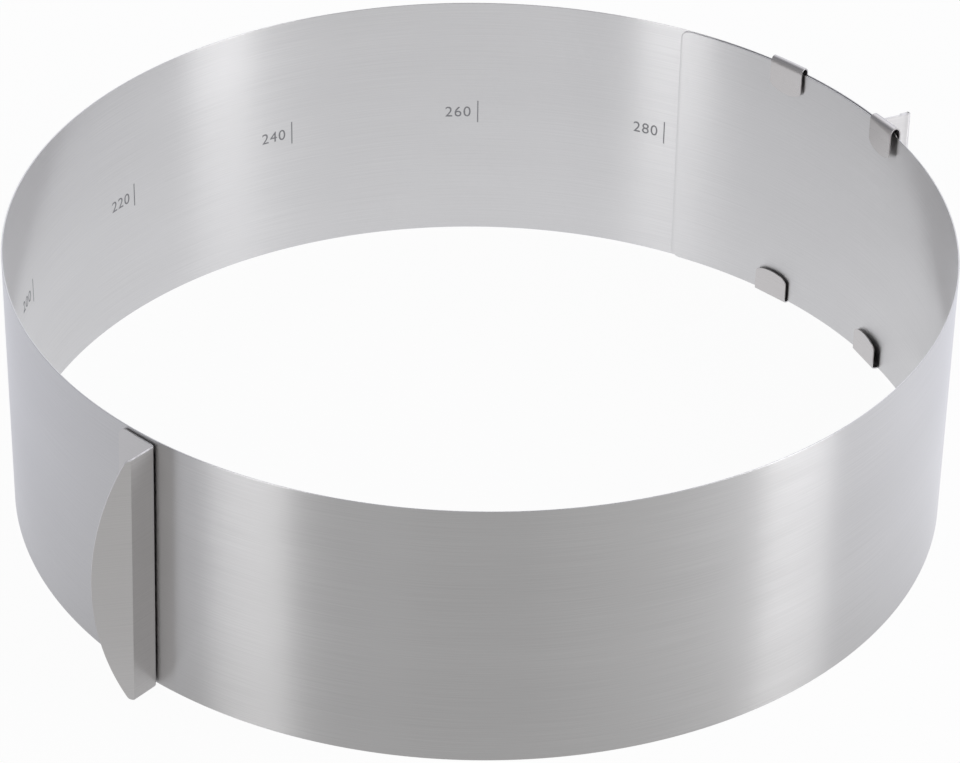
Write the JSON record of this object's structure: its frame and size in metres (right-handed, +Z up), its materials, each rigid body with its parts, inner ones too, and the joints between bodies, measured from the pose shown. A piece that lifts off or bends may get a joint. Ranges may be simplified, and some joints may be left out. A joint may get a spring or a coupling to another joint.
{
  "type": "cake ring",
  "caption": "Adjustable round cake ring: a springy brushed steel strip with lapped ends, hooks that guide the sliding end, an end grip, a bowed side handle and a diameter scale.",
  "frame": {"origin": "on the ring's axis, at the height of the surface that it stands on", "axes": "+Z up along the ring's axis, +X to the right and -Y towards the viewer in the picture"},
  "size_m": [0.2816, 0.2821, 0.0869],
  "materials": {
    "band_steel": "brushed along the band",
    "fitting_steel": "satin"
  },
  "bodies": {
    "link_01": {"band_link_01": "band_steel"},
    "link_02": {"band_link_02": "band_steel"},
    "link_03": {"band_link_03": "band_steel"},
    "link_04": {"band_link_04": "band_steel"},
    "link_05": {"band_link_05": "band_steel"},
    "link_06": {"band_link_06": "band_steel"},
    "link_07": {"band_link_07": "band_steel"},
    "link_08": {"band_link_08": "band_steel"},
    "link_09": {"band_link_09": "band_steel"},
    "link_10": {"band_link_10": "band_steel"},
    "link_11": {"band_link_11": "band_steel"},
    "link_12": {"band_link_12": "band_steel"},
    "link_13": {"band_link_13": "band_steel"},
    "link_14": {"band_link_14": "band_steel"},
    "link_15": {"band_link_15": "band_steel"},
    "link_16": {"band_link_16": "band_steel"},
    "link_17": {"band_link_17": "band_steel"},
    "link_18": {"band_link_18": "band_steel"},
    "link_19": {"band_link_19": "band_steel"},
    "link_20": {"band_link_20": "band_steel"},
    "link_21": {"band_link_21": "band_steel"},
    "link_22": {"band_link_22": "band_steel", "side_handle": "fitting_steel"},
    "link_23": {"band_link_23": "band_steel"},
    "link_24": {"band_link_24": "band_steel"},
    "link_25": {"band_link_25": "band_steel"},
    "link_26": {"band_link_26": "band_steel"},
    "link_27": {"band_link_27": "band_steel"},
    "link_28": {"band_link_28": "band_steel"},
    "link_29": {"band_link_29": "band_steel"},
    "link_30": {"band_link_30": "band_steel"},
    "link_31": {"band_link_31": "band_steel"},
    "link_32": {"band_link_32": "band_steel"},
    "link_33": {"band_link_33": "band_steel"},
    "link_34": {"band_link_34": "band_steel"},
    "link_35": {"band_link_35": "band_steel"},
    "link_36": {"band_link_36": "band_steel"},
    "link_37": {"band_link_37": "band_steel"},
    "link_38": {"band_link_38": "band_steel"},
    "link_39": {"band_link_39": "band_steel"},
    "link_40": {"band_link_40": "band_steel"},
    "link_41": {"band_link_41": "band_steel"},
    "link_42": {"band_link_42": "band_steel", "guide_clip": "fitting_steel"},
    "link_43": {"band_link_43": "band_steel"},
    "link_44": {"band_link_44": "band_steel", "end_grip": "fitting_steel"}
  },
  "joints": [
    {"name": "ring_set", "type": "hinge", "parent": "link_22", "child": "link_23", "pos_m": [-0.10181, -0.09719, 0.0432], "axis": [0, 0, -1], "range_deg": [-0.58, 6.32]},
    {"name": "flex_23_24", "type": "hinge", "parent": "link_23", "child": "link_24", "pos_m": [-0.11589, -0.07991, 0.0432], "axis": [0, 0, -1], "range_deg": [-0.63, 6.38]},
    {"name": "flex_24_25", "type": "hinge", "parent": "link_24", "child": "link_25", "pos_m": [-0.12707, -0.06063, 0.0432], "axis": [0, 0, -1], "range_deg": [-0.63, 6.37]},
    {"name": "flex_25_26", "type": "hinge", "parent": "link_25", "child": "link_26", "pos_m": [-0.13506, -0.03983, 0.0432], "axis": [0, 0, -1], "range_deg": [-0.63, 6.36]},
    {"name": "flex_26_27", "type": "hinge", "parent": "link_26", "child": "link_27", "pos_m": [-0.13967, -0.01802, 0.0432], "axis": [0, 0, -1], "range_deg": [-0.63, 6.36]},
    {"name": "flex_27_28", "type": "hinge", "parent": "link_27", "child": "link_28", "pos_m": [-0.14079, 0.00424, 0.0432], "axis": [0, 0, -1], "range_deg": [-0.63, 6.35]},
    {"name": "flex_28_29", "type": "hinge", "parent": "link_28", "child": "link_29", "pos_m": [-0.13838, 0.02639, 0.0432], "axis": [0, 0, -1], "range_deg": [-0.63, 6.35]},
    {"name": "flex_29_30", "type": "hinge", "parent": "link_29", "child": "link_30", "pos_m": [-0.13251, 0.04789, 0.0432], "axis": [0, 0, -1], "range_deg": [-0.63, 6.34]},
    {"name": "flex_30_31", "type": "hinge", "parent": "link_30", "child": "link_31", "pos_m": [-0.12332, 0.0682, 0.0432], "axis": [0, 0, -1], "range_deg": [-0.63, 6.33]},
    {"name": "flex_31_32", "type": "hinge", "parent": "link_31", "child": "link_32", "pos_m": [-0.11104, 0.0868, 0.0432], "axis": [0, 0, -1], "range_deg": [-0.63, 6.33]},
    {"name": "flex_32_33", "type": "hinge", "parent": "link_32", "child": "link_33", "pos_m": [-0.09598, 0.10323, 0.0432], "axis": [0, 0, -1], "range_deg": [-0.62, 6.32]},
    {"name": "flex_33_34", "type": "hinge", "parent": "link_33", "child": "link_34", "pos_m": [-0.07853, 0.11709, 0.0432], "axis": [0, 0, -1], "range_deg": [-0.62, 6.32]},
    {"name": "flex_34_35", "type": "hinge", "parent": "link_34", "child": "link_35", "pos_m": [-0.0591, 0.12802, 0.0432], "axis": [0, 0, -1], "range_deg": [-0.62, 6.31]},
    {"name": "flex_35_36", "type": "hinge", "parent": "link_35", "child": "link_36", "pos_m": [-0.0382, 0.13575, 0.0432], "axis": [0, 0, -1], "range_deg": [-0.62, 6.31]},
    {"name": "flex_36_37", "type": "hinge", "parent": "link_36", "child": "link_37", "pos_m": [-0.01634, 0.1401, 0.0432], "axis": [0, 0, -1], "range_deg": [-0.62, 6.3]},
    {"name": "flex_37_38", "type": "hinge", "parent": "link_37", "child": "link_38", "pos_m": [0.00593, 0.14094, 0.0432], "axis": [0, 0, -1], "range_deg": [-0.62, 6.29]},
    {"name": "flex_38_39", "type": "hinge", "parent": "link_38", "child": "link_39", "pos_m": [0.02806, 0.13827, 0.0432], "axis": [0, 0, -1], "range_deg": [-0.62, 6.29]},
    {"name": "flex_39_40", "type": "hinge", "parent": "link_39", "child": "link_40", "pos_m": [0.04949, 0.13215, 0.0432], "axis": [0, 0, -1], "range_deg": [-0.62, 6.28]},
    {"name": "flex_40_41", "type": "hinge", "parent": "link_40", "child": "link_41", "pos_m": [0.06969, 0.12273, 0.0432], "axis": [0, 0, -1], "range_deg": [-0.62, 6.28]},
    {"name": "flex_41_42", "type": "hinge", "parent": "link_41", "child": "link_42", "pos_m": [0.08815, 0.11024, 0.0432], "axis": [0, 0, -1], "range_deg": [-0.63, 6.36]},
    {"name": "flex_42_43", "type": "hinge", "parent": "link_42", "child": "link_43", "pos_m": [0.10485, 0.09454, 0.0432], "axis": [0, 0, -1], "range_deg": [-0.64, 6.45]},
    {"name": "flex_43_44", "type": "hinge", "parent": "link_43", "child": "link_44", "pos_m": [0.11878, 0.07634, 0.0432], "axis": [0, 0, -1], "range_deg": [-0.58, 5.79]},
    {"name": "flex_21_22", "type": "hinge", "parent": "link_22", "child": "link_21", "pos_m": [-0.08522, -0.11199, 0.0432], "axis": [0, 0, 1], "range_deg": [-0.63, 6.37]},
    {"name": "flex_20_21", "type": "hinge", "parent": "link_21", "child": "link_20", "pos_m": [-0.06651, -0.12399, 0.0432], "axis": [0, 0, 1], "range_deg": [-0.63, 6.38]},
    {"name": "flex_19_20", "type": "hinge", "parent": "link_20", "child": "link_19", "pos_m": [-0.04614, -0.1329, 0.0432], "axis": [0, 0, 1], "range_deg": [-0.63, 6.38]},
    {"name": "flex_18_19", "type": "hinge", "parent": "link_19", "child": "link_18", "pos_m": [-0.02463, -0.13849, 0.0432], "axis": [0, 0, 1], "range_deg": [-0.63, 6.39]},
    {"name": "flex_17_18", "type": "hinge", "parent": "link_18", "child": "link_17", "pos_m": [-0.0025, -0.14062, 0.0432], "axis": [0, 0, 1], "range_deg": [-0.63, 6.39]},
    {"name": "flex_16_17", "type": "hinge", "parent": "link_17", "child": "link_16", "pos_m": [0.01969, -0.13923, 0.0432], "axis": [0, 0, 1], "range_deg": [-0.63, 6.4]},
    {"name": "flex_15_16", "type": "hinge", "parent": "link_16", "child": "link_15", "pos_m": [0.04138, -0.13437, 0.0432], "axis": [0, 0, 1], "range_deg": [-0.63, 6.41]},
    {"name": "flex_14_15", "type": "hinge", "parent": "link_15", "child": "link_14", "pos_m": [0.06203, -0.12615, 0.0432], "axis": [0, 0, 1], "range_deg": [-0.63, 6.41]},
    {"name": "flex_13_14", "type": "hinge", "parent": "link_14", "child": "link_13", "pos_m": [0.08113, -0.11477, 0.0432], "axis": [0, 0, 1], "range_deg": [-0.63, 6.42]},
    {"name": "flex_12_13", "type": "hinge", "parent": "link_13", "child": "link_12", "pos_m": [0.0982, -0.10053, 0.0432], "axis": [0, 0, 1], "range_deg": [-0.64, 6.42]},
    {"name": "flex_11_12", "type": "hinge", "parent": "link_12", "child": "link_11", "pos_m": [0.11281, -0.08377, 0.0432], "axis": [0, 0, 1], "range_deg": [-0.64, 6.43]},
    {"name": "flex_10_11", "type": "hinge", "parent": "link_11", "child": "link_10", "pos_m": [0.12459, -0.06492, 0.0432], "axis": [0, 0, 1], "range_deg": [-0.64, 6.43]},
    {"name": "flex_09_10", "type": "hinge", "parent": "link_10", "child": "link_09", "pos_m": [0.13325, -0.04445, 0.0432], "axis": [0, 0, 1], "range_deg": [-0.64, 6.44]},
    {"name": "flex_08_09", "type": "hinge", "parent": "link_09", "child": "link_08", "pos_m": [0.13857, -0.02287, 0.0432], "axis": [0, 0, 1], "range_deg": [-0.64, 6.45]},
    {"name": "flex_07_08", "type": "hinge", "parent": "link_08", "child": "link_07", "pos_m": [0.14042, -0.00071, 0.0432], "axis": [0, 0, 1], "range_deg": [-0.64, 6.45]},
    {"name": "flex_06_07", "type": "hinge", "parent": "link_07", "child": "link_06", "pos_m": [0.13875, 0.02145, 0.0432], "axis": [0, 0, 1], "range_deg": [-0.64, 6.46]},
    {"name": "flex_05_06", "type": "hinge", "parent": "link_06", "child": "link_05", "pos_m": [0.13361, 0.04308, 0.0432], "axis": [0, 0, 1], "range_deg": [-0.64, 6.46]},
    {"name": "flex_04_05", "type": "hinge", "parent": "link_05", "child": "link_04", "pos_m": [0.12511, 0.06362, 0.0432], "axis": [0, 0, 1], "range_deg": [-0.64, 6.47]},
    {"name": "flex_03_04", "type": "hinge", "parent": "link_04", "child": "link_03", "pos_m": [0.11348, 0.08257, 0.0432], "axis": [0, 0, 1], "range_deg": [-0.64, 6.48]},
    {"name": "flex_02_03", "type": "hinge", "parent": "link_03", "child": "link_02", "pos_m": [0.099, 0.09943, 0.0432], "axis": [0, 0, 1], "range_deg": [-0.64, 6.48]},
    {"name": "flex_01_02", "type": "hinge", "parent": "link_02", "child": "link_01", "pos_m": [0.08204, 0.11381, 0.0432], "axis": [0, 0, 1], "range_deg": [-0.64, 6.49]}
  ],
  "couplings": [
    {"joint": "flex_23_24", "follows": "ring_set", "ratio": 1.0004},
    {"joint": "flex_24_25", "follows": "ring_set", "ratio": 0.99947},
    {"joint": "flex_25_26", "follows": "ring_set", "ratio": 0.99856},
    {"joint": "flex_26_27", "follows": "ring_set", "ratio": 0.99765},
    {"joint": "flex_27_28", "follows": "ring_set", "ratio": 0.99674},
    {"joint": "flex_28_29", "follows": "ring_set", "ratio": 0.99583},
    {"joint": "flex_29_30", "follows": "ring_set", "ratio": 0.99492},
    {"joint": "flex_30_31", "follows": "ring_set", "ratio": 0.99401},
    {"joint": "flex_31_32", "follows": "ring_set", "ratio": 0.99311},
    {"joint": "flex_32_33", "follows": "ring_set", "ratio": 0.9922},
    {"joint": "flex_33_34", "follows": "ring_set", "ratio": 0.9913},
    {"joint": "flex_34_35", "follows": "ring_set", "ratio": 0.9904},
    {"joint": "flex_35_36", "follows": "ring_set", "ratio": 0.9895},
    {"joint": "flex_36_37", "follows": "ring_set", "ratio": 0.98861},
    {"joint": "flex_37_38", "follows": "ring_set", "ratio": 0.98771},
    {"joint": "flex_38_39", "follows": "ring_set", "ratio": 0.98681},
    {"joint": "flex_39_40", "follows": "ring_set", "ratio": 0.98592},
    {"joint": "flex_40_41", "follows": "ring_set", "ratio": 0.98503},
    {"joint": "flex_41_42", "follows": "ring_set", "ratio": 0.99837},
    {"joint": "flex_42_43", "follows": "ring_set", "ratio": 1.0117},
    {"joint": "flex_43_44", "follows": "ring_set", "ratio": 0.90711},
    {"joint": "flex_21_22", "follows": "ring_set", "ratio": 0.99961},
    {"joint": "flex_20_21", "follows": "ring_set", "ratio": 1.0005},
    {"joint": "flex_19_20", "follows": "ring_set", "ratio": 1.0014},
    {"joint": "flex_18_19", "follows": "ring_set", "ratio": 1.0024},
    {"joint": "flex_17_18", "follows": "ring_set", "ratio": 1.0033},
    {"joint": "flex_16_17", "follows": "ring_set", "ratio": 1.0042},
    {"joint": "flex_15_16", "follows": "ring_set", "ratio": 1.0051},
    {"joint": "flex_14_15", "follows": "ring_set", "ratio": 1.006},
    {"joint": "flex_13_14", "follows": "ring_set", "ratio": 1.007},
    {"joint": "flex_12_13", "follows": "ring_set", "ratio": 1.0079},
    {"joint": "flex_11_12", "follows": "ring_set", "ratio": 1.0088},
    {"joint": "flex_10_11", "follows": "ring_set", "ratio": 1.0098},
    {"joint": "flex_09_10", "follows": "ring_set", "ratio": 1.0107},
    {"joint": "flex_08_09", "follows": "ring_set", "ratio": 1.0116},
    {"joint": "flex_07_08", "follows": "ring_set", "ratio": 1.0126},
    {"joint": "flex_06_07", "follows": "ring_set", "ratio": 1.0135},
    {"joint": "flex_05_06", "follows": "ring_set", "ratio": 1.0144},
    {"joint": "flex_04_05", "follows": "ring_set", "ratio": 1.0154},
    {"joint": "flex_03_04", "follows": "ring_set", "ratio": 1.0163},
    {"joint": "flex_02_03", "follows": "ring_set", "ratio": 1.0172},
    {"joint": "flex_01_02", "follows": "ring_set", "ratio": 1.0182}
  ]
}
